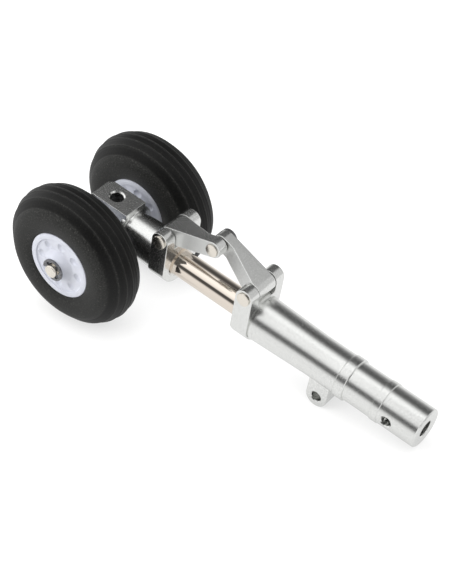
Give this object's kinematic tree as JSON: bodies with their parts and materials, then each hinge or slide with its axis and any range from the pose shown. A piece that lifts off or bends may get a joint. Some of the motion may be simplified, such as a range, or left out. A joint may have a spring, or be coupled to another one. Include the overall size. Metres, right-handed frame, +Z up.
{
  "type": "landing gear strut",
  "caption": "Sprung telescopic nose gear leg for a model aircraft, with torque links, a drag lug and twin ribbed wheels.",
  "frame": {"origin": "middle of the whole leg's box on the floor that the two tyres and the drag lug stand on", "axes": "+X along the leg, level, from the wheels to the trunnion end; +Y to the right-hand wheel; +Z up, to the torque link side"},
  "size_m": [0.1328, 0.0542, 0.044],
  "materials": {
    "satin_aluminium": "fine bead-blasted satin",
    "bronze": "plain turned",
    "chromed_steel": "mirror polished",
    "spring_steel": "drawn wire",
    "nickel_steel": "bright nickel plate",
    "clip_steel": "dark phosphated",
    "black_steel": "black oxide",
    "white_nylon": "smooth moulded",
    "black_rubber": "satin rubber"
  },
  "bodies": {
    "cylinder": {"outer_cylinder": "satin_aluminium", "gland_bush": "bronze", "spring": "spring_steel", "upper_hinge_pin": "nickel_steel"},
    "leg": {"lower_leg": "satin_aluminium", "piston_rod": "chromed_steel", "piston_stop_ring": "spring_steel", "axle": "nickel_steel", "axle_lock_screw": "black_steel", "axle_clip_left": "clip_steel", "axle_clip_right": "clip_steel", "lower_hinge_pin": "nickel_steel"},
    "upper_torque_link": {"upper_link": "satin_aluminium", "knee_pin": "nickel_steel", "knee_clip": "clip_steel"},
    "lower_torque_link": {"lower_link": "satin_aluminium"},
    "wheel_left": {"hub_left": "white_nylon", "tyre_left": "black_rubber"},
    "wheel_right": {"hub_right": "white_nylon", "tyre_right": "black_rubber"}
  },
  "joints": [
    {"name": "strut_slide", "type": "slide", "parent": "cylinder", "child": "leg", "axis": [0.9858, 0, -0.1679], "range_m": [0, 0.006], "stiffness_N_per_m": 1000, "springref_m": -0.004, "deforming": ["spring"]},
    {"name": "upper_link_hinge", "type": "hinge", "parent": "cylinder", "child": "upper_torque_link", "pos_m": [0.00954, 0, 0.02746], "axis": [0, 1, 0], "range_deg": [0, 22.57]},
    {"name": "knee_hinge", "type": "hinge", "parent": "upper_torque_link", "child": "lower_torque_link", "pos_m": [-0.00446, 0, 0.03521], "axis": [0, 1, 0], "range_deg": [-45.14, 0]},
    {"name": "wheel_left_spin", "type": "hinge", "parent": "leg", "child": "wheel_left", "pos_m": [-0.04445, -0.01645, 0.022], "axis": [0, 1, 0], "continuous": true},
    {"name": "wheel_right_spin", "type": "hinge", "parent": "leg", "child": "wheel_right", "pos_m": [-0.04445, 0.01645, 0.022], "axis": [0, 1, 0], "continuous": true}
  ],
  "couplings": [
    {"joint": "upper_link_hinge", "follows": "strut_slide", "rad_per_m": 65.62},
    {"joint": "knee_hinge", "follows": "strut_slide", "rad_per_m": -131.24}
  ]
}
